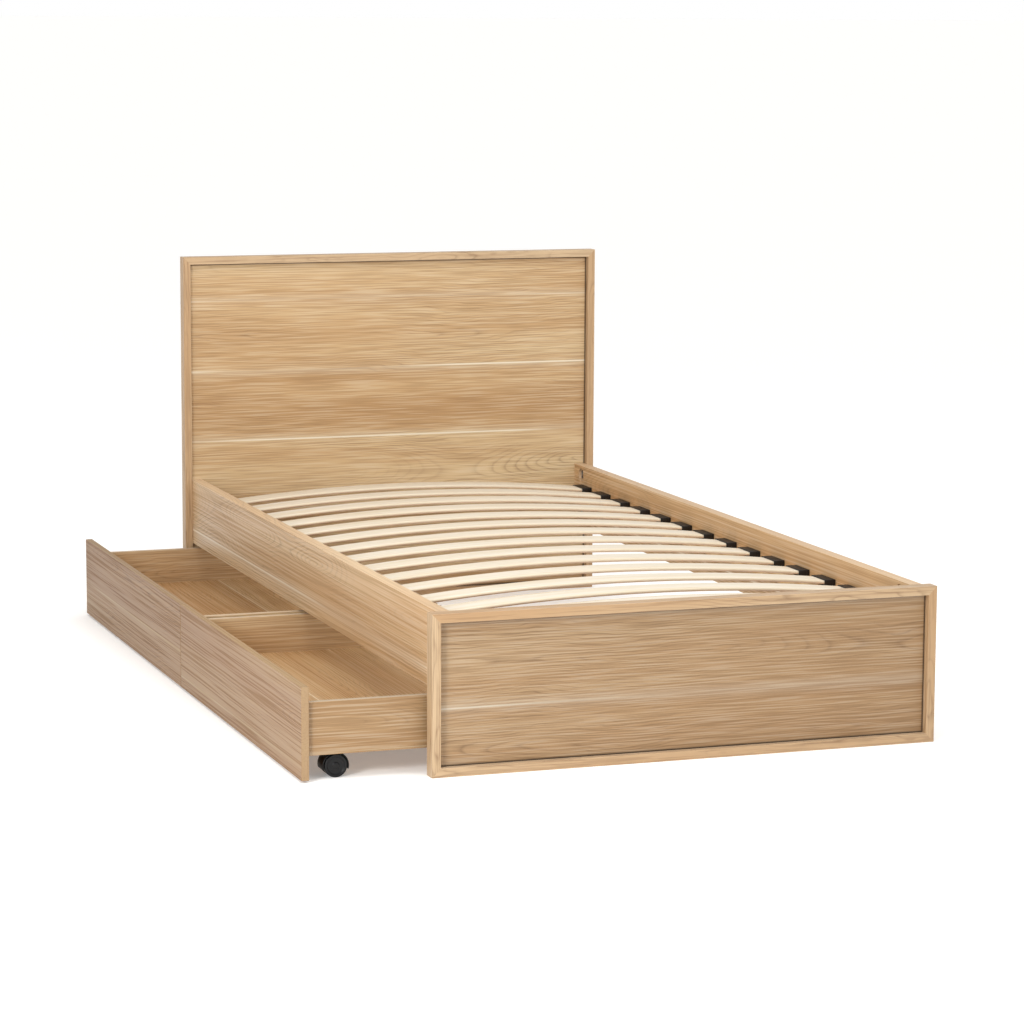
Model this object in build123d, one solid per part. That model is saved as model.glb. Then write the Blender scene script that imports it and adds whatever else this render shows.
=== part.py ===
"""Platform bed with two rolling storage drawers, one STEP file for each sub-part.

Frame: X runs across the bed and the drawers open towards -X, Y runs from the footboard to the
headboard, Z is up. The origin is the centre of the footboard's base, on the floor. Millimetres.
The drawers are drawn partly open, which is the rest position of their slides.
"""
import os
from math import asin, cos, degrees, radians, sin

from build123d import *

# Bed frame: two shadow-box ends joined by two side rails
BED_WIDTH = 1116.0
HEADBOARD_HEIGHT = 905.0
FOOTBOARD_HEIGHT = 334.0
CLEAR_LENGTH = 2007.0        # between the two ends, for a 2000 mm mattress
END_DEPTH = 34.0             # front to back of each end
END_BOARD = 19.0             # thickness of the mitred boards round each panel
PANEL_THICKNESS = 18.0       # the panel lies flush with the back of its boards
PANEL_REBATE = 6.0           # how far the panel reaches into the boards
ARRIS = 0.8                  # rounding of the laminated boards' long edges

RAIL_THICKNESS = 28.0
RAIL_HEIGHT = 163.0
LEDGER_WIDTH = 30.0
LEDGER_HEIGHT = 30.0
LEDGER_END_GAP = 45.0        # from each end of the bed to the end of a ledger

# Sprung slats and the plastic holders on their ends
SLAT_COUNT = 14
SLAT_PITCH = 138.5
SLAT_FIRST = 144.0           # middle of the slat nearest the footboard
SLAT_WIDTH = 68.0
SLAT_THICKNESS = 8.0
SLAT_CROWN_TOP = 311.0       # height of a slat's upper face at mid width
SLAT_CROWN = 27.0            # rise of the arch between the two holders
SLAT_EDGE_RADIUS = 2.5
HOLDER_LENGTH = 27.5
HOLDER_WIDTH = 73.0
HOLDER_HEIGHT = 14.0
HOLDER_POCKET = 20.0
HOLDER_PLAY = 0.3            # room round the slat's end in its pocket
HOLDER_ROUNDING = 1.0
PEG_RADIUS = 4.0
PEG_LENGTH = 14.0

# Bolts that hold the rails to the end panels
ACCESS_RADIUS = 17.5
ACCESS_DEPTH = 22.0
ACCESS_FROM_END = 50.0
BOLT_HEIGHTS = (205.0, 309.0)
BOLT_RADIUS = 4.0
BOLT_HEAD_RADIUS = 7.0
BOLT_HEAD_LENGTH = 5.0
WASHER_FLAT = 13.0           # distance of the washer's flat from the access hole's centre
WASHER_HALF_WIDTH = 7.0      # of the half-moon washer, across the rail
WASHER_HALF_HEIGHT = 10.0
SOCKET_RADIUS = 2.9          # hexagon key socket in the bolt's head, drawn round
SOCKET_DEPTH = 3.0
INSERT_RADIUS = 6.0
INSERT_LENGTH = 14.0

# Drawers
PULLED_OUT = 262.0           # how far a drawer stands out of its closed place
DRAWER_DEPTH = 600.0
FRONT_THICKNESS = 16.0
FRONT_BOTTOM = 5.0
FRONT_TOP = 195.0
FRONT_GAP = 3.0              # between the fronts, and to the bed ends
RAIL_CLEARANCE = 2.0         # between a closed front and the rail behind it
BOX_INSET = 11.0             # from the end of a front to the side of its box
BOX_BOARD = 15.0
BOX_BOTTOM = 53.0
BOX_TOP = 162.0
TRAY_THICKNESS = 12.0
TRAY_BOTTOM = 65.0
GROOVE_DEPTH = 6.0
BOX_SCREW_RADIUS = 2.5
BOX_SCREW_LENGTH = 45.0
BOX_SCREW_HEAD_RADIUS = 4.5
BOX_SCREW_HEAD = 4.0
BOX_SCREW_HEIGHTS = (95.0, 140.0)

# Twin-wheel swivel casters under the drawers
WHEEL_RADIUS = 24.0
WHEEL_WIDTH = 13.0
WHEEL_GAP = 14.0             # between the two wheels of a caster
TRAIL = 14.0                 # from the swivel axis to the wheel axle
AXLE_RADIUS = 3.0
TYRE_ROUNDING = 2.0
AXLE_END_COVER = 2.5         # wheel left over each end of the axle
RUNNING_CLEARANCE = 0.06
HOOD_INNER_RADIUS = 25.5
HOOD_OUTER_RADIUS = 28.0     # keeps 1 mm under the drawer box as it swivels
HOOD_WIDTH = 38.0
HOOD_LIP_ANGLE = 12.0        # how far the hood reaches below the axle's level
WEB_THICKNESS = 12.0
BOSS_RADIUS = 7.8            # of the web round the axle
NECK_RADIUS = 12.0
NECK_TOP = 61.5
NECK_ROUNDING = 1.0
SADDLE_HEIGHT = 9.0          # how far the neck runs down the outside of the hood
STEM_RADIUS = 4.0
STEM_BOTTOM = 50.0           # above the wheels, so that they turn clear of it
PLATE_SIZE = 42.0
PLATE_THICKNESS = 2.5
PLATE_CORNER_RADIUS = 4.0
CASTER_INSET_X = 51.0
CASTER_INSET_Y = 41.0        # from the outside of the box to the swivel axis
PLATE_SCREW_SPACING = 30.0
PLATE_SCREW_RADIUS = 1.75
PLATE_SCREW_LENGTH = 9.0
PLATE_SCREW_HEAD_RADIUS = 3.2
PLATE_SCREW_HEAD = 1.8
PILOT_PLAY = 0.1

# Places that follow from the dimensions
HALF_WIDTH = BED_WIDTH / 2
FOOT_FRONT = -END_DEPTH / 2
FOOT_BACK = END_DEPTH / 2
HEAD_FRONT = FOOT_BACK + CLEAR_LENGTH
PANEL_RECESS = END_DEPTH - PANEL_THICKNESS
HEAD_PANEL_FRONT = HEAD_FRONT + PANEL_RECESS
RAIL_TOP = FOOTBOARD_HEIGHT
RAIL_BOTTOM = RAIL_TOP - RAIL_HEIGHT
RAIL_OUTER = HALF_WIDTH - END_BOARD
RAIL_INNER = RAIL_OUTER - RAIL_THICKNESS
HOLDER_INNER = RAIL_INNER - 0.5 - HOLDER_LENGTH
SLAT_HALF_LENGTH = HOLDER_INNER + HOLDER_POCKET - 1.0
SLAT_RADIUS = (HOLDER_INNER**2 + SLAT_CROWN**2) / (2 * SLAT_CROWN)
LEDGER_TOP = 272.0
SLAT_PLACES = [SLAT_FIRST + i * SLAT_PITCH for i in range(SLAT_COUNT)]
FRONT_LENGTH = (CLEAR_LENGTH - 3 * FRONT_GAP) / 2
FRONT_OUTER = -(RAIL_OUTER + RAIL_CLEARANCE + FRONT_THICKNESS) - PULLED_OUT
FRONT_INNER = FRONT_OUTER + FRONT_THICKNESS
BOX_BACK = FRONT_INNER + DRAWER_DEPTH
TRAY_TOP = TRAY_BOTTOM + TRAY_THICKNESS


def block(x, y, z):
    """A box from its (low, high) pair on each axis."""
    centre = [sum(pair) / 2 for pair in (x, y, z)]
    size = [pair[1] - pair[0] for pair in (x, y, z)]
    return Pos(*centre) * Box(*size)


def rod(radius, length, start, direction):
    """A cylinder that begins at a point and runs along a direction."""
    plane = Plane(origin=start, z_dir=direction)
    return plane.location * Cylinder(radius, length, align=(Align.CENTER, Align.CENTER, Align.MIN))


def across(outline, y_low, y_high):
    """A solid with an outline of (x, z) corners, from one Y to another."""
    points = [(x, 0, z) for x, z in outline]
    face = Face(Polyline(*points, close=True))
    return Pos(0, y_low, 0) * extrude(face, amount=y_high - y_low, dir=(0, 1, 0))


def softened(board, axis):
    """A board with the arrises that run along one axis rounded."""
    return fillet(board.edges().filter_by(axis), ARRIS)


def write(name, *solids):
    """Write one sub-part, a single solid or a group of separate solids."""
    shape = solids[0] if len(solids) == 1 else Compound(children=list(solids))
    export_step(shape, f"parts/{name}.step")


# Ends of the bed ------------------------------------------------------------------------------

def end_panel(height, front):
    """The inset panel, flush with the back of the boards that frame it."""
    reach = HALF_WIDTH - END_BOARD + PANEL_REBATE
    low = END_BOARD - PANEL_REBATE
    return block((-reach, reach), (front + PANEL_RECESS, front + END_DEPTH), (low, height - low))


def end_boards(height, front):
    """The four mitred boards round a panel, rebated for it."""
    w = HALF_WIDTH
    t = END_BOARD
    depth = (front, front + END_DEPTH)
    top = softened(block((-w, w), depth, (height - t, height)), Axis.X)
    bottom = softened(block((-w, w), depth, (0, t)), Axis.X)
    left = softened(block((-w, -w + t), depth, (0, height)), Axis.Z)
    right = softened(block((w - t, w), depth, (0, height)), Axis.Z)
    mitres = {
        "top": (top, [(-w, height), (w, height), (w - t, height - t), (-w + t, height - t)]),
        "bottom": (bottom, [(-w, 0), (w, 0), (w - t, t), (-w + t, t)]),
        "left": (left, [(-w, 0), (-w, height), (-w + t, height - t), (-w + t, t)]),
        "right": (right, [(w, 0), (w, height), (w - t, height - t), (w - t, t)]),
    }
    panel = end_panel(height, front)
    return {side: board & across(outline, *depth) - panel for side, (board, outline) in mitres.items()}


def bolt_places():
    """(x, z) of each bolt, the same at both ends of the bed."""
    middle = (RAIL_INNER + RAIL_OUTER) / 2
    return [(side * middle, z) for side in (-1, 1) for z in BOLT_HEIGHTS]


def make_end(name, height, front, rail_face, inward):
    """Write one end of the bed; the panel has a hole for each threaded insert."""
    panel = end_panel(height, front)
    for x, z in bolt_places():
        panel -= rod(INSERT_RADIUS, INSERT_LENGTH, (x, rail_face, z), (0, -inward, 0))
    write(f"{name}_panel", panel)
    for side, board in end_boards(height, front).items():
        write(f"{name}_{side}_board", board)


# Side rails, ledgers and bolts ----------------------------------------------------------------

RAIL_ENDS = ((FOOT_BACK, 1), (HEAD_PANEL_FRONT, -1))     # rail end, and the way to mid bed


def make_rail(name, side):
    """A side rail with access holes in its inner face and bolt holes in its ends."""
    x = sorted((side * RAIL_INNER, side * RAIL_OUTER))
    rail = softened(block(x, (FOOT_BACK, HEAD_PANEL_FRONT), (RAIL_BOTTOM, RAIL_TOP)), Axis.Y)
    bolt_x = side * (RAIL_INNER + RAIL_OUTER) / 2
    for end, inward in RAIL_ENDS:
        for z in BOLT_HEIGHTS:
            centre = (side * RAIL_INNER, end + inward * ACCESS_FROM_END, z)
            rail -= rod(ACCESS_RADIUS, ACCESS_DEPTH, centre, (side, 0, 0))
            rail -= rod(BOLT_RADIUS + PILOT_PLAY, ACCESS_FROM_END, (bolt_x, end, z), (0, inward, 0))
    write(name, rail)


def make_ledger(name, side):
    """The batten that carries the slat holders, drilled for their pegs."""
    x = sorted((side * RAIL_INNER, side * (RAIL_INNER - LEDGER_WIDTH)))
    y = (FOOT_BACK + LEDGER_END_GAP, HEAD_FRONT - LEDGER_END_GAP)
    ledger = softened(block(x, y, (LEDGER_TOP - LEDGER_HEIGHT, LEDGER_TOP)), Axis.Y)
    peg_x = side * (HOLDER_INNER + HOLDER_LENGTH / 2)
    for place in SLAT_PLACES:
        ledger -= rod(PEG_RADIUS + PILOT_PLAY, PEG_LENGTH + 1, (peg_x, place, LEDGER_TOP), (0, 0, -1))
    write(name, ledger)


def bolt_set(x, end, inward, z):
    """One bolt, its half-moon washer in the access hole and its insert in the panel."""
    hole_y = end + inward * ACCESS_FROM_END
    flat_y = hole_y - inward * WASHER_FLAT
    outer = -1 if x < 0 else 1
    disc = rod(ACCESS_RADIUS, ACCESS_DEPTH - 1, (outer * RAIL_INNER, hole_y, z), (outer, 0, 0))
    beyond = sorted((flat_y, flat_y - inward * ACCESS_RADIUS))
    washer_z = (z - WASHER_HALF_HEIGHT, z + WASHER_HALF_HEIGHT)
    keep = block((x - WASHER_HALF_WIDTH, x + WASHER_HALF_WIDTH), beyond, washer_z)
    washer = (disc & keep) - rod(BOLT_RADIUS + PILOT_PLAY, 2 * ACCESS_RADIUS, (x, hole_y, z), (0, -inward, 0))
    tip = end - inward * (INSERT_LENGTH - 1)
    shank = rod(BOLT_RADIUS, abs(flat_y - tip), (x, flat_y, z), (0, -inward, 0))
    head = rod(BOLT_HEAD_RADIUS, BOLT_HEAD_LENGTH, (x, flat_y, z), (0, inward, 0))
    socket_start = (x, flat_y + inward * BOLT_HEAD_LENGTH, z)
    socket = rod(SOCKET_RADIUS, SOCKET_DEPTH, socket_start, (0, -inward, 0))
    insert = rod(INSERT_RADIUS, INSERT_LENGTH, (x, end, z), (0, -inward, 0))
    insert -= rod(BOLT_RADIUS + PILOT_PLAY, INSERT_LENGTH, (x, end, z), (0, -inward, 0))
    return [shank + head - socket, washer, insert]


# Sprung slats ---------------------------------------------------------------------------------

def arched_bar(section, middle_z, half_length):
    """A section in the YZ plane carried along the slats' arch."""
    centre_z = SLAT_CROWN_TOP - SLAT_THICKNESS - SLAT_RADIUS
    half_angle = degrees(asin(half_length / SLAT_RADIUS))
    axis = Axis((0, 0, centre_z), (0, 1, 0))
    start = (Plane.YZ * Pos(0, middle_z) * section).rotate(axis, -half_angle)
    return revolve(start, axis, revolution_arc=2 * half_angle)


def sprung_slat():
    """One bentwood slat about Y = 0, with rounded long edges."""
    section = RectangleRounded(SLAT_WIDTH, SLAT_THICKNESS, SLAT_EDGE_RADIUS)
    return arched_bar(section, SLAT_CROWN_TOP - SLAT_THICKNESS / 2, SLAT_HALF_LENGTH)


def slat_holder(side):
    """The plastic holder on one end of a slat about Y = 0, with its peg."""
    x = sorted((side * HOLDER_INNER, side * (HOLDER_INNER + HOLDER_LENGTH)))
    y = (-HOLDER_WIDTH / 2, HOLDER_WIDTH / 2)
    body = fillet(block(x, y, (LEDGER_TOP, LEDGER_TOP + HOLDER_HEIGHT)).edges(), HOLDER_ROUNDING)
    section = Rectangle(SLAT_WIDTH + 2 * HOLDER_PLAY, SLAT_THICKNESS + 2 * HOLDER_PLAY)
    room = arched_bar(section, SLAT_CROWN_TOP - SLAT_THICKNESS / 2, HOLDER_INNER + HOLDER_POCKET)
    peg_x = side * (HOLDER_INNER + HOLDER_LENGTH / 2)
    peg = rod(PEG_RADIUS, PEG_LENGTH + 1, (peg_x, 0, LEDGER_TOP + 1), (0, 0, -1))
    return body + peg - room


# Drawers --------------------------------------------------------------------------------------

def caster_axes(low_y, high_y):
    """Swivel axis (x, y) of each caster under a drawer box, by corner name."""
    near = FRONT_INNER + CASTER_INSET_X
    far = BOX_BACK - CASTER_INSET_X
    foot = low_y + CASTER_INSET_Y
    head = high_y - CASTER_INSET_Y
    return {
        "front_foot": (near, foot),
        "front_head": (near, head),
        "back_foot": (far, foot),
        "back_head": (far, head),
    }


def plate_screw_places(x, y):
    """(x, y) of the four screws of a caster plate."""
    half = PLATE_SCREW_SPACING / 2
    return [(x + i * half, y + j * half) for i in (-1, 1) for j in (-1, 1)]


def box_screws(low_y, high_y):
    """(start point, direction) of each screw from a side board into the back board."""
    x = BOX_BACK - BOX_BOARD / 2
    starts = ((low_y, 1), (high_y, -1))
    return [((x, y, z), (0, way, 0)) for y, way in starts for z in BOX_SCREW_HEIGHTS]


def box_screw(start, direction, play=0.0):
    """A countersunk box screw, or the hole for it when play is given."""
    shank = rod(BOX_SCREW_RADIUS + play, BOX_SCREW_LENGTH, start, direction)
    return shank + rod(BOX_SCREW_HEAD_RADIUS + play, BOX_SCREW_HEAD, start, direction)


def plate_screw(x, y, play=0.0):
    """A screw up through a caster plate into the tray, or the hole for it."""
    under = TRAY_BOTTOM - PLATE_THICKNESS
    shank = rod(PLATE_SCREW_RADIUS + play, PLATE_THICKNESS + PLATE_SCREW_LENGTH, (x, y, under), (0, 0, 1))
    if play:
        return shank
    return shank + rod(PLATE_SCREW_HEAD_RADIUS, PLATE_SCREW_HEAD, (x, y, under), (0, 0, -1))


def make_drawer(name, front_low_y):
    """Write a drawer's boards, its caster plates and its screws."""
    front_y = (front_low_y, front_low_y + FRONT_LENGTH)
    low_y = front_y[0] + BOX_INSET
    high_y = front_y[1] - BOX_INSET
    inner_y = (low_y + BOX_BOARD, high_y - BOX_BOARD)
    height = (BOX_BOTTOM, BOX_TOP)
    axes = caster_axes(low_y, high_y)
    tray = block(
        (FRONT_INNER - GROOVE_DEPTH, BOX_BACK - BOX_BOARD + GROOVE_DEPTH),
        (inner_y[0] - GROOVE_DEPTH, inner_y[1] + GROOVE_DEPTH),
        (TRAY_BOTTOM, TRAY_TOP),
    )
    screws = box_screws(low_y, high_y)
    holes = [box_screw(start, way, PILOT_PLAY) for start, way in screws]

    front = block((FRONT_OUTER, FRONT_INNER), front_y, (FRONT_BOTTOM, FRONT_TOP))
    write(f"{name}_front", fillet(front.edges(), ARRIS) - tray)
    sides = {"foot_side": (low_y, inner_y[0]), "head_side": (inner_y[1], high_y)}
    for side, y in sides.items():
        board = softened(block((FRONT_INNER, BOX_BACK), y, height), Axis.X) - tray
        write(f"{name}_{side}", board - holes)
    back = softened(block((BOX_BACK - BOX_BOARD, BOX_BACK), inner_y, height), Axis.Y) - tray
    write(f"{name}_back", back - holes)

    plates = []
    fixings = [box_screw(start, way) for start, way in screws]
    for x, y in axes.values():
        plates.append(caster_plate(x, y))
        for place in plate_screw_places(x, y):
            tray -= plate_screw(*place, PILOT_PLAY)
            fixings.append(plate_screw(*place))
    write(f"{name}_tray", tray)
    write(f"{name}_caster_plates", *plates)
    write(f"{name}_screws", *fixings)
    for corner, (x, y) in axes.items():
        write(f"{name}_hood_{corner}", Pos(x, y, 0) * caster_hood())
        write(f"{name}_wheels_{corner}", *[Pos(x, y, 0) * piece for piece in caster_wheels()])


# Casters, each drawn about its own swivel axis with the wheels trailing towards +X ------------

def caster_plate(x, y):
    """The screwed-on plate and the stem that the hood turns on."""
    half = PLATE_SIZE / 2
    under = TRAY_BOTTOM - PLATE_THICKNESS
    plate = block((x - half, x + half), (y - half, y + half), (under, TRAY_BOTTOM))
    plate = fillet(plate.edges().filter_by(Axis.Z), PLATE_CORNER_RADIUS)
    for place in plate_screw_places(x, y):
        plate -= plate_screw(*place, PILOT_PLAY)
    return plate + rod(STEM_RADIUS, under - STEM_BOTTOM + 1, (x, y, STEM_BOTTOM), (0, 0, 1))


def hood_sector(radius, width):
    """The part of a cylinder on the axle that lies above the hood's lips."""
    drum = rod(radius, width, (TRAIL, -width / 2, WHEEL_RADIUS), (0, 1, 0))
    reach = 2 * radius
    lip = radians(HOOD_LIP_ANGLE)
    wedge = [
        (TRAIL, WHEEL_RADIUS),
        (TRAIL + reach * cos(lip), WHEEL_RADIUS - reach * sin(lip)),
        (TRAIL, WHEEL_RADIUS - 2 * reach),
        (TRAIL - reach * cos(lip), WHEEL_RADIUS - reach * sin(lip)),
    ]
    return drum - across(wedge, -width, width)


def caster_hood():
    """The moulded hood: a rim over both wheels, a web between them and a neck."""
    rim = hood_sector(HOOD_OUTER_RADIUS, HOOD_WIDTH)
    rim -= rod(HOOD_INNER_RADIUS, 2 * HOOD_WIDTH, (TRAIL, -HOOD_WIDTH, WHEEL_RADIUS), (0, 1, 0))
    web = hood_sector(HOOD_INNER_RADIUS + 1, WEB_THICKNESS)
    boss = rod(BOSS_RADIUS, WEB_THICKNESS, (TRAIL, -WEB_THICKNESS / 2, WHEEL_RADIUS), (0, 1, 0))
    neck_low = WHEEL_RADIUS + HOOD_INNER_RADIUS
    neck = rod(NECK_RADIUS, NECK_TOP - neck_low, (0, 0, neck_low), (0, 0, 1))
    neck = fillet(neck.edges().sort_by(Axis.Z)[-1], NECK_ROUNDING)
    saddle = rod(NECK_RADIUS, SADDLE_HEIGHT + 1, (0, 0, neck_low - SADDLE_HEIGHT), (0, 0, 1)) - rod(
        HOOD_INNER_RADIUS + 1, 2 * HOOD_WIDTH, (TRAIL, -HOOD_WIDTH, WHEEL_RADIUS), (0, 1, 0)
    )
    hood = rim + web + boss + neck + saddle
    bore = STEM_RADIUS + RUNNING_CLEARANCE
    hood -= rod(bore, NECK_TOP - STEM_BOTTOM + 2, (0, 0, STEM_BOTTOM - 1), (0, 0, 1))
    axle_hole = AXLE_RADIUS + RUNNING_CLEARANCE
    return hood - rod(axle_hole, 2 * WEB_THICKNESS, (TRAIL, -WEB_THICKNESS, WHEEL_RADIUS), (0, 1, 0))


def caster_wheels():
    """Two wheels and the axle that joins them."""
    pieces = []
    for side in (-1, 1):
        inner = side * WHEEL_GAP / 2
        wheel = rod(WHEEL_RADIUS, WHEEL_WIDTH, (TRAIL, inner, WHEEL_RADIUS), (0, side, 0))
        wheel = fillet(wheel.edges(), TYRE_ROUNDING)
        wheel -= rod(AXLE_RADIUS, WHEEL_WIDTH - 2, (TRAIL, inner, WHEEL_RADIUS), (0, side, 0))
        pieces.append(wheel)
    reach = WHEEL_GAP / 2 + WHEEL_WIDTH - AXLE_END_COVER
    pieces.append(rod(AXLE_RADIUS, 2 * reach, (TRAIL, -reach, WHEEL_RADIUS), (0, 1, 0)))
    return pieces


# Write every sub-part -------------------------------------------------------------------------

os.makedirs("parts", exist_ok=True)

make_end("headboard", HEADBOARD_HEIGHT, HEAD_FRONT, HEAD_PANEL_FRONT, -1)
make_end("footboard", FOOTBOARD_HEIGHT, FOOT_FRONT, FOOT_BACK, 1)

for rail_name, rail_side in (("left", -1), ("right", 1)):
    make_rail(f"{rail_name}_rail", rail_side)
    make_ledger(f"{rail_name}_ledger", rail_side)

bolts = []
for bolt_x, bolt_z in bolt_places():
    for rail_end, inwards in RAIL_ENDS:
        bolts += bolt_set(bolt_x, rail_end, inwards, bolt_z)
write("rail_bolt_sets", *bolts)

slat = sprung_slat()
for number, slat_y in enumerate(SLAT_PLACES, start=1):
    write(f"slat_{number:02d}", Pos(0, slat_y, 0) * slat)
holders = [slat_holder(holder_side) for holder_side in (-1, 1)]
write("slat_holders", *[Pos(0, slat_y, 0) * holder for slat_y in SLAT_PLACES for holder in holders])

make_drawer("foot_drawer", FOOT_BACK + FRONT_GAP)
make_drawer("head_drawer", FOOT_BACK + 2 * FRONT_GAP + FRONT_LENGTH)
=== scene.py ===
"""Finishes, sprung slats, casters and studio for a platform bed with two rolling storage drawers.

Every size is in metres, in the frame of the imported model: X across the bed, Y from the footboard
to the headboard, Z up from the floor.
"""

import math

import bmesh
import bpy
import numpy as np
from bpy.props import FloatProperty, FloatVectorProperty, IntProperty, PointerProperty
from mathutils import Euler, Matrix, Vector


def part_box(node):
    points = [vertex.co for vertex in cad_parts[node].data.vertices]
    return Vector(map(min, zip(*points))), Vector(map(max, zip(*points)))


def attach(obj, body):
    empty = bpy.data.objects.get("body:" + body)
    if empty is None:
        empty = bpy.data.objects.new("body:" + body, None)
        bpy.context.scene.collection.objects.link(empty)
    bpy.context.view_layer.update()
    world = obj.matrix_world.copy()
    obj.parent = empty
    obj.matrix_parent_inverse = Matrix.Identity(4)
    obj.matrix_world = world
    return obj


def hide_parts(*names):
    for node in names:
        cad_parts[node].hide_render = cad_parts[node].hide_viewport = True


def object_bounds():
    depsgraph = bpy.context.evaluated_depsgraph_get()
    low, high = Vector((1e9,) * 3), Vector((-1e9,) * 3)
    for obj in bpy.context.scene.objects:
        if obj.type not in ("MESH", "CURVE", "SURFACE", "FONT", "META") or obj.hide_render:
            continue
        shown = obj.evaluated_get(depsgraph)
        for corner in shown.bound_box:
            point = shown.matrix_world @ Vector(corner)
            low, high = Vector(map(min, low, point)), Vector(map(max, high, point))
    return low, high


bl_info = {
    "name": "Platform bed finishes",
    "version": (1, 0, 0),
    "blender": (4, 5, 0),
    "location": "View3D > Sidebar > Bed",
    "description": "Oak laminate, sprung slats, casters and studio round the frame of a drawer bed",
    "category": "Object",
}

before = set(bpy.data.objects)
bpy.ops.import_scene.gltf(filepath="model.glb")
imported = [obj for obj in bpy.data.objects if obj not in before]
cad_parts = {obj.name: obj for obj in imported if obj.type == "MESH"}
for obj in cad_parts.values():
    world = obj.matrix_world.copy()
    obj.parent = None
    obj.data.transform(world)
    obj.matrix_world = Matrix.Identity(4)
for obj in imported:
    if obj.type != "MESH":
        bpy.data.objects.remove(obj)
CAD_BOX = [list(corner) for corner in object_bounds()]

MM = 0.001
TURN = 2 * math.pi
DRAWERS = ("foot_drawer", "head_drawer")
CORNERS = ("front_foot", "front_head", "back_foot", "back_head")
SLATS = sorted(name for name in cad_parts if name.startswith(("slat_0", "slat_1")))
AXES = {"X": 0, "Y": 1, "Z": 2}
MIX_A, MIX_B, MIX_RESULT = 6, 7, 2        # the colour sockets of a Mix node
PANEL_REBATE = 6 * MM                     # how far a panel reaches into its boards
SWIVEL_TRAIL = 14 * MM                    # from a caster's swivel axis to its axle
HOOD_WEB_HALF = 6 * MM                    # half the thickness of the wall between the wheels
NECK_SUNK = 8 * MM                        # how far the neck reaches down into the hood
FLOOR_REACH = 2000.0                      # metres of floor to each side
CLIP_END = 5000.0                         # past the floor's far corner
SENSOR_WIDTH = 36.0


def linear(code):
    """The linear colour of an sRGB hex code: ((c + 0.055) / 1.055) ** 2.4, or c / 12.92 near black."""
    parts = [int(code[i:i + 2], 16) / 255 for i in (1, 3, 5)]
    return [c / 12.92 if c <= 0.04045 else ((c + 0.055) / 1.055) ** 2.4 for c in parts]


def shade(name, description, code):
    """A colour that a user can change, given first as an sRGB hex code."""
    return FloatVectorProperty(
        name=name, description=description, subtype="COLOR", size=3, min=0, max=1, default=linear(code)
    )


def length(name, description, metres):
    """A length that a user can change."""
    return FloatProperty(
        name=name, description=description, default=metres, min=0, precision=4, unit="LENGTH"
    )


class BED_PG_sizes(bpy.types.PropertyGroup):
    """Sizes of the pieces that are built here; their places come from the frame."""

    slat_thickness: length("Slat thickness", "Thickness of the bent beech laminate", 8 * MM)
    slat_edge: length("Slat edge", "Rounding of a slat's long edges", 3.9 * MM)
    veneer: length("Veneer", "Thickness of one veneer in a slat", 1.3 * MM)
    holder_pocket: length("Holder pocket", "Depth of the pocket that takes a slat's end", 20 * MM)
    holder_play: length("Holder play", "Room round the slat in its holder", 0.4 * MM)
    holder_height: length("Holder height", "Height of a holder above the ledger", 14 * MM)
    peg_radius: length("Peg radius", "Radius of the holder's peg", 4 * MM)
    wheel_width: length("Wheel width", "Width of one of a caster's two wheels", 13 * MM)
    axle_radius: length("Axle radius", "Radius of the axle that joins two wheels", 3 * MM)
    hood_shell: length("Hood shell", "Thickness of the hood's shell over the wheels", 2.5 * MM)
    neck_radius: length("Neck radius", "Radius of the hood's neck", 12 * MM)
    stem_bore: length("Stem bore", "Radius of the bore that the stem turns in", 4.1 * MM)
    plank: length("Plank", "Width of one plank in the oak decor", 180 * MM)
    ring: length("Growth ring", "Width of a growth ring in the oak decor", 6.5 * MM)
    steps: IntProperty(name="Steps", description="Grid steps round a turned shape", default=64, min=16)


class BED_PG_colours(bpy.types.PropertyGroup):
    """Colours of the finishes."""

    oak_light: shade("Oak light", "Pale latewood of the oak decor", "#d6ba92")
    oak_mid: shade("Oak mid", "Usual tone of the oak decor", "#c39e72")
    oak_deep: shade("Oak deep", "Warm, deep planks of the oak decor", "#b0875a")
    oak_pore: shade("Oak pores", "Rings and pores of the oak decor", "#7a5838")
    # painted shade: a dark line round each panel, for the gap where it is let into its frame and the shadow
    # in the frame's recess
    joint_shadow: shade("Joint", "Gap round a panel let into its frame", "#2e2115")
    # also the pale of the edge banding, and the painted top light on upward faces
    oak_sap_and_top_light: shade("Oak sapwood", "Cream line where two planks meet", "#e6d8c2")
    pine: shade("Pine", "Planed pine of the ledgers", "#d8b583")
    pine_ring: shade("Pine rings", "Late rings of the pine", "#b98a55")
    beech: shade("Beech", "Face veneer of a slat", "#dbd1c0")
    beech_warm: shade("Beech streaks", "Warmer streaks in a slat's face", "#d4c5ab")
    beech_edge: shade("Beech edge", "Sanded edge of a slat, where the veneers show", "#c79d7c")
    knot: shade("Knots", "Small knots in the beech", "#8b6a4a")
    holder: shade("Holder", "Black polypropylene of the slat holders", "#17120f")
    nylon: shade("Hood", "Black nylon of the caster hoods", "#0d0d0d")
    wheel: shade("Wheel", "Dark grey plastic of the wheels", "#0d0d0e")
    zinc: shade("Zinc", "Zinc plate on bolts, screws and plates", "#b9bbbd")
    floor: shade("Floor", "Pale studio floor", "#f2f1ef")


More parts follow.
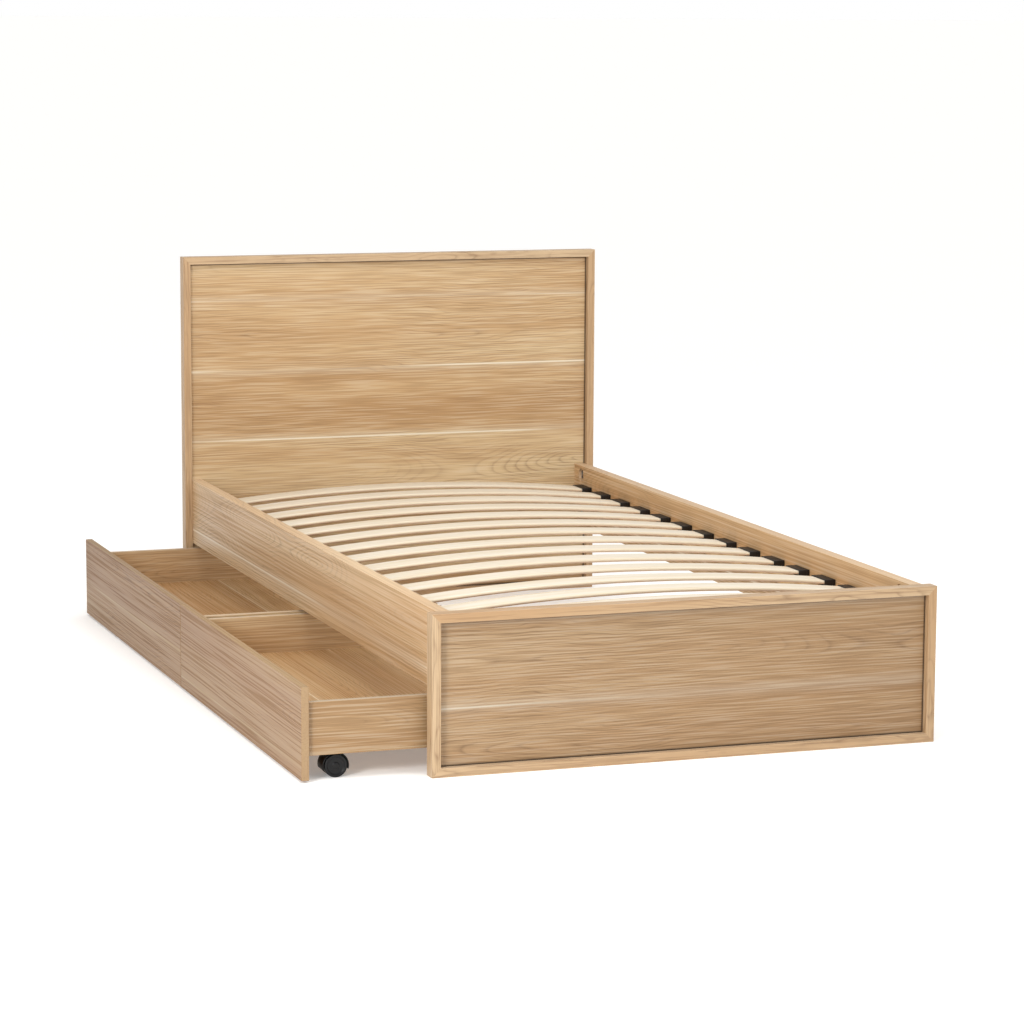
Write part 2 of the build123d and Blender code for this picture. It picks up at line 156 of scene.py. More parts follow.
class BED_PG_studio(bpy.types.PropertyGroup):
    """The studio's light and camera."""

    sky: FloatProperty(name="Sky", description="Strength of the light overhead", default=1.15, min=0)
    front: FloatProperty(name="Front", description="Strength of the sky in front", default=0.45, min=0)
    back: FloatProperty(name="Back", description="Strength of the sky behind", default=0.12, min=0)
    horizon: FloatProperty(name="Horizon", description="Strength of the horizon", default=1.0, min=0)
    glow: FloatProperty(name="Floor glow", description="Light given by the floor", default=0.25, min=0)
    key: FloatProperty(name="Key", description="Key light", default=55, min=0, unit="POWER")
    fill: FloatProperty(name="Front light", description="Power of the light in front", default=15,
                        min=0, unit="POWER")
    top: FloatProperty(name="Top", description="Soft light overhead", default=40, min=0, unit="POWER")
    lens: FloatProperty(
        name="Lens", description="Focal length", default=118.03, min=1, subtype="DISTANCE_CAMERA"
    )
    yaw: FloatProperty(
        name="Yaw", description="Turn of the view to the right", default=math.radians(19.416), subtype="ANGLE"
    )
    pitch: FloatProperty(
        name="Pitch", description="Tilt of the view down", default=math.radians(8.409), subtype="ANGLE"
    )
    roll: FloatProperty(
        name="Roll", description="Turn of the camera on its lens", default=math.radians(0.28), subtype="ANGLE"
    )
    place: FloatVectorProperty(
        name="Camera", description="Place of the camera", subtype="TRANSLATION", unit="LENGTH",
        default=(-2.5982, -6.2804, 1.5151),
    )


# Nodes ----------------------------------------------------------------------------------------

def add(tree, kind, inputs=None, stops=(), **settings):
    """Add a node with its settings, its colour stops, and its inputs' values or links.

    An input is named, or numbered from 0, and takes a value, a socket, or a node for its first output.
    """
    made = tree.nodes.new(kind)
    for name, value in settings.items():
        setattr(made, name, value)
    for key, value in (inputs or {}).items():
        if isinstance(value, bpy.types.Node):
            value = value.outputs[0]
        if isinstance(value, bpy.types.NodeSocket):
            tree.links.new(value, made.inputs[key])
        else:
            made.inputs[key].default_value = value
    for i, (place, tone) in enumerate(stops):
        elements = made.color_ramp.elements
        element = elements[i] if i < 2 else elements.new(place)
        element.position = place
        element.color = tone if hasattr(tone, "__len__") else (tone, tone, tone, 1)
    return made


def opaque(colour):
    """A colour with full alpha."""
    return (*colour, 1)


def new_material(name):
    """An empty material, its node tree and its one surface shader."""
    material = bpy.data.materials.new(name)
    material.use_nodes = True
    tree = material.node_tree
    tree.nodes.clear()
    shader = add(tree, "ShaderNodeBsdfPrincipled")
    add(tree, "ShaderNodeOutputMaterial", {"Surface": shader})
    return material, tree, shader


# Wood -----------------------------------------------------------------------------------------

def board_space(tree, node, grain, face):
    """Coordinates along the grain, across it and through the board, from the middle of its node."""
    across = ({"X", "Y", "Z"} - {grain, face}).pop()
    low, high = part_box(node)
    texture = add(tree, "ShaderNodeTexCoord")
    place = add(
        tree, "ShaderNodeMapping", {"Vector": texture.outputs["Object"], "Location": -(low + high) / 2}
    )
    parts = add(tree, "ShaderNodeSeparateXYZ", {0: place})
    turned = add(
        tree, "ShaderNodeCombineXYZ",
        {0: parts.outputs[grain], 1: parts.outputs[across], 2: parts.outputs[face]},
    )
    facing = add(tree, "ShaderNodeSeparateXYZ", {0: texture.outputs["Normal"]})
    return turned, facing


def stretched_noise(tree, board, along, across, detail, roughness=0.5, shift=0.0):
    """Noise with that many waves to the metre along the grain and across it."""
    scaled = add(
        tree, "ShaderNodeMapping",
        {"Vector": board, "Scale": (along, across, across), "Location": (shift, shift, 0)},
    )
    return add(
        tree, "ShaderNodeTexNoise",
        {"Vector": scaled, "Scale": 1.0, "Detail": detail, "Roughness": roughness},
    )


def oak_laminate(node, number, grain, face, plank, seam, tone_and_shade, banding_and_top_light, rebate):
    """Chipboard faced with printed oak decor paper, pressed to a satin, brushed melamine surface.

    The eye gets golden planks of unlike tone that meet in a thin cream line, flame figure down the
    middle of each plank, straight streaks at its sides, and fine brown pores along the grain.
    Planks are equal strips across the board, counted from the seam. A plank's rings are the distance
    from a wandering pith, the root of (across + wander)^2 + (pith depth + through)^2, over the
    ring width. Tone and shade is the board's colour multiplier: partly its own tone, partly painted
    shade. Banding and top light is how pale the butt ends and upward faces are: edge banding, with
    painted top light on the upward faces. A panel that reaches into its frame by the rebate shows a
    dark line all round its front: the gap where it is let in, with painted shade from the frame.
    """
    sizes = bpy.context.scene.bed_sizes
    colours = bpy.context.scene.bed_colours
    material, tree, shader = new_material(f"oak_laminate_{node}")
    board, facing = board_space(tree, node, grain, face)
    along, across, through = add(tree, "ShaderNodeSeparateXYZ", {0: board}).outputs

    # how far in from the nearest edge of the board
    half = (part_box(node)[1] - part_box(node)[0]) / 2
    crosswise = ({"X", "Y", "Z"} - {grain, face}).pop()
    ends = add(tree, "ShaderNodeMath", {0: along}, operation="ABSOLUTE")
    ends = add(tree, "ShaderNodeMath", {0: half[AXES[grain]], 1: ends}, operation="SUBTRACT")
    sides = add(tree, "ShaderNodeMath", {0: across}, operation="ABSOLUTE")
    sides = add(tree, "ShaderNodeMath", {0: half[AXES[crosswise]], 1: sides}, operation="SUBTRACT")
    inset = add(tree, "ShaderNodeMath", {0: ends, 1: sides}, operation="MINIMUM")

    # which plank, how far from its middle, and three random numbers that are its own
    count = add(
        tree, "ShaderNodeMath", {0: across, 1: 1 / plank, 2: -seam / plank}, operation="MULTIPLY_ADD"
    )
    index = add(tree, "ShaderNodeMath", {0: count}, operation="FLOOR")
    index = add(tree, "ShaderNodeMath", {0: index, 1: 7.3 * number}, operation="ADD")
    lot = add(tree, "ShaderNodeTexWhiteNoise", {"W": index}, noise_dimensions="1D").outputs["Color"]
    lot = add(tree, "ShaderNodeSeparateColor", {0: lot})
    share = add(tree, "ShaderNodeMath", {0: count}, operation="FRACT")
    middle = add(tree, "ShaderNodeMath", {0: share, 1: 0.5}, operation="SUBTRACT")
    side = add(tree, "ShaderNodeMath", {0: middle}, operation="ABSOLUTE")
    margin = add(tree, "ShaderNodeMath", {0: side, 1: -plank, 2: plank / 2}, operation="MULTIPLY_ADD")

    # the pith wanders nearer and further, which closes the rings into flames
    step = add(
        tree, "ShaderNodeMath", {0: lot.outputs[0], 1: 31.0, 2: along}, operation="MULTIPLY_ADD"
    )
    depth = add(tree, "ShaderNodeTexNoise", {"W": step, "Scale": 1.6, "Detail": 0.0}, noise_dimensions="1D")
    depth = add(tree, "ShaderNodeMath", {0: depth, 1: 0.11, 2: -0.055}, operation="MULTIPLY_ADD")
    depth = add(tree, "ShaderNodeMath", {0: depth, 1: through}, operation="ADD")
    wander = stretched_noise(tree, board, 2.5, 9.0, 4.0, 0.55, number)
    wander = add(tree, "ShaderNodeMath", {0: wander, 1: 0.07, 2: -0.035}, operation="MULTIPLY_ADD")
    middle = add(tree, "ShaderNodeMath", {0: middle, 1: plank, 2: wander}, operation="MULTIPLY_ADD")
    radius = add(tree, "ShaderNodeCombineXYZ", {0: middle, 1: depth})
    radius = add(tree, "ShaderNodeVectorMath", {0: radius}, operation="LENGTH").outputs["Value"]
    rings = add(tree, "ShaderNodeMath", {0: radius, 1: 1 / sizes.ring}, operation="MULTIPLY")
    rings = add(tree, "ShaderNodeMath", {0: rings}, operation="FRACT")
    ring = add(
        tree, "ShaderNodeValToRGB", {0: rings},
        stops=((0.0, 1.0), (1.0, 1.0), (0.16, 0.35), (0.4, 0.0), (0.86, 0.1)),
    )

    # pores are 0.3 mm wide on the real decor; they are drawn 3 to 4 mm wide so that they show,
    # and longer on the boards that run the length of the bed
    pores_along = 2.6 if grain == "Y" else 7.0
    fibre = stretched_noise(tree, board, pores_along, 320.0, 1.0, 0.5, number)
    pores = add(tree, "ShaderNodeMapRange", {"Value": fibre, "From Min": 0.5, "From Max": 0.6})
    flecks = add(tree, "ShaderNodeMapRange", {"Value": fibre, "From Min": 0.47, "From Max": 0.37})
    streaks = stretched_noise(tree, board, 1.0, 90.0, 2.0, 0.5, number)
    bands = stretched_noise(tree, board, 0.7, 11.0, 2.0, 0.5, number)
    fade = stretched_noise(tree, board, 1.3, 7.0, 1.0, 0.5, number)
    fade = add(tree, "ShaderNodeMapRange", {"Value": fade, "From Min": 0.38, "From Max": 0.58})

    # tone: the plank's own lot, broad bands and streaks
    tone = add(tree, "ShaderNodeMath", {0: lot.outputs[1], 1: 0.22, 2: -0.11}, operation="MULTIPLY_ADD")
    tone = add(tree, "ShaderNodeMath", {0: bands, 1: 0.65, 2: tone}, operation="MULTIPLY_ADD")
    tone = add(tree, "ShaderNodeMath", {0: streaks, 1: 0.16, 2: tone}, operation="MULTIPLY_ADD")
    ground = add(
        tree, "ShaderNodeValToRGB", {0: tone},
        stops=(
            (0.17, opaque(colours.oak_deep)), (0.63, opaque(colours.oak_light)),
            (0.4, opaque(colours.oak_mid)),
        ),
    )
    darkness = add(tree, "ShaderNodeMath", {0: ring, 1: fade}, operation="MULTIPLY")
    darkness = add(tree, "ShaderNodeMath", {0: darkness, 1: 0.38}, operation="MULTIPLY")
    darkness = add(
        tree, "ShaderNodeMath", {0: pores, 1: 0.25, 2: darkness}, operation="MULTIPLY_ADD",
        use_clamp=True,
    )
    grained = add(
        tree, "ShaderNodeMix",
        {0: darkness, MIX_A: ground.outputs[0], MIX_B: opaque(colours.oak_pore)}, data_type="RGBA",
    )

    # on the broad face: the cream line where two planks meet, and paler wood beside it
    broad = add(tree, "ShaderNodeMath", {0: facing.outputs[face]}, operation="ABSOLUTE")
    line = add(tree, "ShaderNodeMapRange", {"Value": margin, "From Min": 1.2 * MM, "From Max": 3 * MM,
                                            "To Min": 0.95, "To Max": 0.0})
    worn = add(tree, "ShaderNodeMapRange", {"Value": bands, "From Min": 0.42, "From Max": 0.52})
    line = add(tree, "ShaderNodeMath", {0: line, 1: worn}, operation="MULTIPLY")
    pale = add(tree, "ShaderNodeMapRange", {"Value": margin, "From Max": 20 * MM,
                                            "To Min": 0.3, "To Max": 0.0})
    pale = add(tree, "ShaderNodeMath", {0: pale, 1: lot.outputs[2]}, operation="MULTIPLY")
    pale = add(tree, "ShaderNodeMath", {0: flecks, 1: 0.22, 2: pale}, operation="MULTIPLY_ADD")
    pale = add(tree, "ShaderNodeMath", {0: pale, 1: line}, operation="MAXIMUM")
    pale = add(tree, "ShaderNodeMath", {0: pale, 1: broad}, operation="MULTIPLY")
    # paler butt ends and upward faces: edge banding, with painted top light on the upward faces
    butt = add(tree, "ShaderNodeMath", {0: facing.outputs[grain]}, operation="ABSOLUTE")
    butt_or_upward_face = add(tree, "ShaderNodeMath", {0: butt, 1: facing.outputs["Z"]}, operation="MAXIMUM")
    banding_and_top_light_mask = add(tree, "ShaderNodeMapRange", {"Value": butt_or_upward_face, "From Min": 0.5, "To Max": banding_and_top_light})
    pale = add(tree, "ShaderNodeMath", {0: pale, 1: banding_and_top_light_mask}, operation="MAXIMUM")
    paled = add(
        tree, "ShaderNodeMix",
        {0: pale, MIX_A: grained.outputs[MIX_RESULT], MIX_B: opaque(colours.oak_sap_and_top_light)},
        data_type="RGBA",
    )
    # the board's colour multiplier: partly its own tone, partly painted shade that darkens the boards on
    # which less light falls
    toned_and_shaded = add(
        tree, "ShaderNodeMix",
        {0: 1.0, MIX_A: paled.outputs[MIX_RESULT], MIX_B: opaque(linear(tone_and_shade))},
        data_type="RGBA", blend_type="MULTIPLY",
    )
    # painted shade: the dark line round the panel's front stands for the gap where it is let into its frame
    # and the shadow the frame casts into the recess
    if rebate:
        joint_shadow = add(tree, "ShaderNodeMapRange", {"Value": inset, "From Min": rebate + 1.5 * MM,
                                                 "From Max": rebate + 5 * MM, "To Min": 0.95, "To Max": 0.0})
        front = add(tree, "ShaderNodeMath", {0: facing.outputs[face], 1: -1.0}, operation="MULTIPLY",
                    use_clamp=True)
        joint_shadow = add(tree, "ShaderNodeMath", {0: joint_shadow, 1: front}, operation="MULTIPLY")
        toned_and_shaded = add(
            tree, "ShaderNodeMix",
            {0: joint_shadow, MIX_A: toned_and_shaded.outputs[MIX_RESULT], MIX_B: opaque(colours.joint_shadow)},
            data_type="RGBA",
        )
    sheen = add(tree, "ShaderNodeMapRange", {"Value": pores, "To Min": 0.42, "To Max": 0.6})
    relief = add(tree, "ShaderNodeBump", {"Strength": 0.35, "Distance": 0.12 * MM, "Height": pores},
                 invert=True)
    shader.inputs["IOR"].default_value = 1.5
    tree.links.new(toned_and_shaded.outputs[MIX_RESULT], shader.inputs["Base Color"])
    tree.links.new(sheen.outputs[0], shader.inputs["Roughness"])
    tree.links.new(relief.outputs[0], shader.inputs["Normal"])
    return material


def planed_pine(name):
    """Planed pine of the ledgers: pale yellow wood with straight, warmer late rings along it."""
    colours = bpy.context.scene.bed_colours
    material, tree, shader = new_material(name)
    board, _ = board_space(tree, "left_ledger", "Y", "X")
    rings = stretched_noise(tree, board, 0.5, 150.0, 2.0)
    rings = add(tree, "ShaderNodeMapRange", {"Value": rings, "From Min": 0.45, "From Max": 0.7})
    fibre = stretched_noise(tree, board, 20.0, 900.0, 2.0)
    wood = add(
        tree, "ShaderNodeMix",
        {0: rings, MIX_A: opaque(colours.pine), MIX_B: opaque(colours.pine_ring)}, data_type="RGBA",
    )
    relief = add(tree, "ShaderNodeBump", {"Strength": 0.4, "Distance": 0.15 * MM, "Height": fibre})
    rough = add(tree, "ShaderNodeMapRange", {"Value": fibre, "To Min": 0.55, "To Max": 0.75})
    shader.inputs["IOR"].default_value = 1.5
    tree.links.new(wood.outputs[MIX_RESULT], shader.inputs["Base Color"])
    tree.links.new(rough.outputs[0], shader.inputs["Roughness"])
    tree.links.new(relief.outputs[0], shader.inputs["Normal"])
    return material


def bent_beech(name):
    """Bent, laminated beech, sanded and lacquered matt.

    The eye gets cream face veneer with faint warm streaks and a few pin knots, and a pinker, sanded
    edge with thin glue lines between the veneers. The depth and edge attributes say how high in the
    slat a point lies, in metres, and how far it has turned to the side.
    """
    sizes = bpy.context.scene.bed_sizes
    colours = bpy.context.scene.bed_colours
    material, tree, shader = new_material(name)
    board, _ = board_space(tree, SLATS[0], "X", "Z")
    streaks = stretched_noise(tree, board, 1.6, 60.0, 3.0, 0.6)
    streaks = add(tree, "ShaderNodeMapRange", {"Value": streaks, "From Min": 0.38, "From Max": 0.68})
    fibre = stretched_noise(tree, board, 30.0, 700.0, 2.0)
    face = add(
        tree, "ShaderNodeMix",
        {0: streaks, MIX_A: opaque(colours.beech), MIX_B: opaque(colours.beech_warm)},
        data_type="RGBA",
    )
    spread = add(tree, "ShaderNodeMapping", {"Vector": board, "Scale": (2.2, 7.3, 0.0)})
    knots = add(tree, "ShaderNodeTexVoronoi", {"Vector": spread, "Scale": 1.0})
    knots = add(tree, "ShaderNodeMapRange", {"Value": knots, "From Min": 0.016, "From Max": 0.034,
                                             "To Min": 0.8, "To Max": 0.0})
    knotted = add(
        tree, "ShaderNodeMix",
        {0: knots, MIX_A: face.outputs[MIX_RESULT], MIX_B: opaque(colours.knot)}, data_type="RGBA",
    )
    height = add(tree, "ShaderNodeAttribute", attribute_name="depth").outputs["Fac"]
    layer = add(tree, "ShaderNodeMath", {0: height, 1: 1 / sizes.veneer}, operation="MULTIPLY")
    layer = add(tree, "ShaderNodeMath", {0: layer}, operation="FRACT")
    glue = add(tree, "ShaderNodeMapRange", {"Value": layer, "From Min": 0.85, "From Max": 1.0,
                                            "To Min": 1.0, "To Max": 0.75})
    under = add(tree, "ShaderNodeMapRange", {"Value": height, "From Min": 1.0 * MM, "From Max": 4.5 * MM})
    sanded = add(
        tree, "ShaderNodeMix",
        {0: under, MIX_A: opaque(colours.beech_edge), MIX_B: opaque(colours.beech_warm)},
        data_type="RGBA",
    )
    veneers = add(
        tree, "ShaderNodeMix", {0: 1.0, MIX_A: sanded.outputs[MIX_RESULT], MIX_B: glue},
        data_type="RGBA", blend_type="MULTIPLY",
    )
    turned = add(tree, "ShaderNodeAttribute", attribute_name="edge").outputs["Fac"]
    turned = add(tree, "ShaderNodeMapRange", {"Value": turned, "From Min": 0.3, "From Max": 0.8})
    wood = add(
        tree, "ShaderNodeMix",
        {0: turned, MIX_A: knotted.outputs[MIX_RESULT], MIX_B: veneers.outputs[MIX_RESULT]},
        data_type="RGBA",
    )
    rough = add(tree, "ShaderNodeMapRange", {"Value": fibre, "To Min": 0.42, "To Max": 0.62})
    relief = add(tree, "ShaderNodeBump", {"Strength": 0.3, "Distance": 0.1 * MM, "Height": fibre})
    shader.inputs["IOR"].default_value = 1.5
    tree.links.new(wood.outputs[MIX_RESULT], shader.inputs["Base Color"])
    tree.links.new(rough.outputs[0], shader.inputs["Roughness"])
    tree.links.new(relief.outputs[0], shader.inputs["Normal"])
    return material


# Plastic and metal ----------------------------------------------------------------------------

def moulded_plastic(name, colour, low, high, grit, ior):
    """Injection-moulded plastic from a spark-eroded mould.

    The eye gets a fine, even grit that breaks up the gloss, and slow clouds in how it shines.
    Grit is the pitch of the mould's texture, and low and high are the ends of the roughness.
    """
    material, tree, shader = new_material(name)
    place = add(tree, "ShaderNodeTexCoord").outputs["Object"]
    grain = add(tree, "ShaderNodeTexNoise", {"Vector": place, "Scale": 1 / grit, "Detail": 2.0})
    cloud = add(tree, "ShaderNodeTexNoise", {"Vector": place, "Scale": 60.0, "Detail": 2.0})
    tone = add(tree, "ShaderNodeMapRange", {"Value": cloud, "To Min": 0.8, "To Max": 1.3})
    painted = add(
        tree, "ShaderNodeMix", {0: 1.0, MIX_A: opaque(colour), MIX_B: tone},
        data_type="RGBA", blend_type="MULTIPLY",
    )
    rough = add(tree, "ShaderNodeMapRange", {"Value": cloud, "To Min": low, "To Max": high})
    relief = add(tree, "ShaderNodeBump", {"Strength": 0.25, "Distance": 0.05 * MM, "Height": grain})
    shader.inputs["IOR"].default_value = ior
    shader.inputs["Specular IOR Level"].default_value = 0.3
    tree.links.new(painted.outputs[MIX_RESULT], shader.inputs["Base Color"])
    tree.links.new(rough.outputs[0], shader.inputs["Roughness"])
    tree.links.new(relief.outputs[0], shader.inputs["Normal"])
    return material


def zinc_plate(name):
    """Bright zinc plate on pressed and turned steel: grey metal with soft spangle and dull patches."""
    colours = bpy.context.scene.bed_colours
    material, tree, shader = new_material(name)
    place = add(tree, "ShaderNodeTexCoord").outputs["Object"]
    spangle = add(tree, "ShaderNodeTexNoise", {"Vector": place, "Scale": 260.0, "Detail": 4.0})
    tone = add(tree, "ShaderNodeMapRange", {"Value": spangle, "To Min": 0.8, "To Max": 1.1})
    plated = add(
        tree, "ShaderNodeMix", {0: 1.0, MIX_A: opaque(colours.zinc), MIX_B: tone},
        data_type="RGBA", blend_type="MULTIPLY",
    )
    rough = add(tree, "ShaderNodeMapRange", {"Value": spangle, "To Min": 0.25, "To Max": 0.45})
    relief = add(tree, "ShaderNodeBump", {"Strength": 0.1, "Distance": 0.05 * MM, "Height": spangle})
    shader.inputs["Metallic"].default_value = 1.0
    tree.links.new(plated.outputs[MIX_RESULT], shader.inputs["Base Color"])
    tree.links.new(rough.outputs[0], shader.inputs["Roughness"])
    tree.links.new(relief.outputs[0], shader.inputs["Normal"])
    return material


# Surfaces -------------------------------------------------------------------------------------

def rounded_rectangle(half_width, half_height, radius, per_corner=6):
    """Outline of a rectangle with round corners, and the outward direction at each point.

    Each quarter turn adds the corner's centre to radius times (cos a, sin a).
    """
    angles = np.linspace(0, TURN / 4, per_corner)[None, :] + np.arange(4)[:, None] * TURN / 4
    outward = np.stack([np.cos(angles), np.sin(angles)], axis=-1)
    signs = np.array([(1, 1), (-1, 1), (-1, -1), (1, -1)])
    centres = signs * (half_width - radius, half_height - radius)
    points = centres[:, None, :] + radius * outward
    return points.reshape(-1, 2), outward.reshape(-1, 2)


def tube_faces(rings, around, wrapped, start):
    """Quads between the rings of a tube, closed by a ring-to-ring wrap or by a flat cap at each end."""
    ring = np.arange(rings if wrapped else rings - 1)[:, None]
    step = np.arange(around)[None, :]
    next_ring = (ring + 1) % rings
    next_step = (step + 1) % around
    quads = np.stack(
        [ring * around + step, ring * around + next_step,
         next_ring * around + next_step, next_ring * around + step],
        axis=-1,
    ).reshape(-1, 4) + start
    faces = quads.tolist()
    if not wrapped:
        first = np.arange(around) + start
        faces.append(first[::-1].tolist())
        faces.append((first + (rings - 1) * around).tolist())
    return faces


def build(name, tubes, body, nodes, material, attributes=None):
    """One piece from tubes, each (points in rings, wrapped), with faces outwards and smooth sides.

    It rides on its body and stands for the CAD nodes given.
    """
    vertices, faces = [], []
    start = 0
    for points, wrapped in tubes:
        rings, around = points.shape[:2]
        faces += tube_faces(rings, around, wrapped, start)
        vertices.append(points.reshape(-1, 3))
        start += rings * around
    mesh = bpy.data.meshes.new(name)
    mesh.from_pydata(np.concatenate(vertices).tolist(), [], faces)
    for key, values in (attributes or {}).items():
        mesh.attributes.new(key, "FLOAT", "POINT").data.foreach_set("value", values.astype(np.float32))
    shell = bmesh.new()
    shell.from_mesh(mesh)
    bmesh.ops.recalc_face_normals(shell, faces=shell.faces)
    shell.to_mesh(mesh)
    shell.free()
    mesh.shade_smooth()
    mesh.set_sharp_from_angle(angle=math.radians(35))
    mesh.materials.append(material)
    piece = bpy.data.objects.new(name, mesh)
    bpy.context.scene.collection.objects.link(piece)
    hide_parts(*nodes)
    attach(piece, body)
    return piece


def lathe(profile, centre, axis, steps):
    """A profile of (radius, along) turned about an axis: centre + along a + radius (cos t b + sin t c)."""
    radius, along = np.array(profile, float).T
    turn = np.arange(steps) * TURN / steps
    a = np.eye(3)[AXES[axis]]
    b = np.roll(a, 1)
    c = np.roll(a, 2)
    rim = np.cos(turn)[:, None] * b + np.sin(turn)[:, None] * c
    return np.array(centre) + along[:, None, None] * a + radius[:, None, None] * rim[None]


def rounded_steps(corners, radius, count=5):
    """A profile through the corners, with each inner corner cut by a quarter-turn blend.

    The blend is the square-law curve from radius before the corner to radius after it.
    """
    path = np.array(corners, float)
    before = path[:-2] - path[1:-1]
    after = path[2:] - path[1:-1]
    before *= np.minimum(radius / np.linalg.norm(before, axis=1), 0.45)[:, None]
    after *= np.minimum(radius / np.linalg.norm(after, axis=1), 0.45)[:, None]
    t = np.linspace(0, 1, count)[None, :, None]
    curves = path[1:-1, None] + (1 - t) ** 2 * before[:, None] + t ** 2 * after[:, None]
    return np.concatenate([path[:1], curves.reshape(-1, 2), path[-1:]])


def slat_arc(thickness):
    """Radius of a slat's upper face, the height of its centre, and the half angle that it spans."""
    low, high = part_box(SLATS[0])
    rise = high.z - low.z - thickness
    radius = (high.x ** 2 + rise ** 2) / (2 * rise)
    return radius, high.z - radius, math.asin(high.x / radius)


def board_tone_and_shade(name):
    """The colour multiplier of a board's decor paper, as a hex code, and how pale its edge banding is.

    The multiplier is partly the board's own tone and partly painted shade: darker on the drawer
    fronts, the footboard panel and the foot drawer's foot side, where less light falls. The
    paleness is edge banding, with painted top light on the upward faces.
    """
    if name.endswith("_drawer_front"):
        return "#b5a48c", 0.6
    if name.endswith("_tray"):
        return "#ede2d1", 0.0
    if name == "foot_drawer_foot_side":
        return "#d3d5d4", 0.5
    if "_drawer_" in name:
        return "#e4e1dc", 0.5
    if name == "footboard_panel":
        return "#cdcbc8", 0.0
    if name == "headboard_panel":
        return "#eff0ec", 0.0
    if name.endswith("_board"):
        return "#e6e6ea", 0.1
    return "#ffffff", 0.2


class BED_OT_boards(bpy.types.Operator):
    """Give every board its oak laminate, each with its own grain, and the ledgers their pine"""

    bl_idname = "bed.boards"
    bl_label = "Oak boards"

    def execute(self, context):
        usual = context.scene.bed_sizes.plank
        boards = {}
        for end, seam in (("headboard", 0.1575), ("footboard", -0.03)):
            boards[f"{end}_panel"] = ("X", "Y", seam)
            for edge in ("top", "bottom"):
                boards[f"{end}_{edge}_board"] = ("X", "Z", usual / 2)
            for edge in ("left", "right"):
                boards[f"{end}_{edge}_board"] = ("Z", "X", usual / 2)
        for rail in ("left_rail", "right_rail"):
            boards[rail] = ("Y", "X", -0.045)
        for drawer, seam in (("foot_drawer", -0.068), ("head_drawer", -0.013)):
            boards[f"{drawer}_front"] = ("Y", "X", seam)
            for end in ("foot", "head"):
                boards[f"{drawer}_{end}_side"] = ("X", "Y", usual / 2)
            boards[f"{drawer}_back"] = ("Y", "X", usual / 2)
            boards[f"{drawer}_tray"] = ("Y", "Z", 0.03)
        for number, (name, (grain, face, seam)) in enumerate(boards.items(), start=1):
            tone_and_shade, banding_and_top_light = board_tone_and_shade(name)
            rebate = PANEL_REBATE if name.endswith("_panel") else 0
            finish = oak_laminate(name, number, grain, face, usual, seam, tone_and_shade, banding_and_top_light, rebate)
            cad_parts[name].data.materials[0] = finish
        pine = planed_pine("planed_pine")
        for name in ("left_ledger", "right_ledger"):
            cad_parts[name].data.materials[0] = pine
        return {"FINISHED"}


class BED_OT_fittings(bpy.types.Operator):
    """Plate the bolts, screws and caster plates with zinc"""

    bl_idname = "bed.fittings"
    bl_label = "Zinc fittings"

    def execute(self, context):
        zinc = zinc_plate("zinc_plate")
        names = ["rail_bolt_sets"]
        for drawer in DRAWERS:
            names += [f"{drawer}_screws", f"{drawer}_caster_plates"]
        for name in names:
            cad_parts[name].data.materials[0] = zinc
        return {"FINISHED"}


class BED_OT_slats(bpy.types.Operator):
    """Bend the sprung slats over their arc"""

    bl_idname = "bed.slats"
    bl_label = "Sprung slats"

    def execute(self, context):
        sizes = context.scene.bed_sizes
        thickness = sizes.slat_thickness
        radius, centre_z, half_angle = slat_arc(thickness)
        low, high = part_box(SLATS[0])
        half_width = (high.y - low.y) / 2
        outline, outward = rounded_rectangle(half_width, thickness / 2, sizes.slat_edge)
        # point (a, s): the outline carried round the arc, always square to it
        angle = np.linspace(-half_angle, half_angle, sizes.steps)[:, None]
        reach = radius - thickness / 2 + outline[None, :, 1]
        x = reach * np.sin(angle)
        z = centre_z + reach * np.cos(angle)
        y = np.broadcast_to(outline[None, :, 0], x.shape)
        depth = np.broadcast_to(outline[:, 1] + thickness / 2, x.shape)
        edge = np.broadcast_to(np.abs(outward[:, 0]), x.shape)
        beech = bent_beech("bent_beech")
        for name in SLATS:
            low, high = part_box(name)
            points = np.stack([x, y + (low.y + high.y) / 2, z], axis=-1)
            build(
                f"bent_{name}", [(points, False)], "bed_frame", [name], beech,
                {"depth": depth.ravel(), "edge": edge.ravel()},
            )
        return {"FINISHED"}


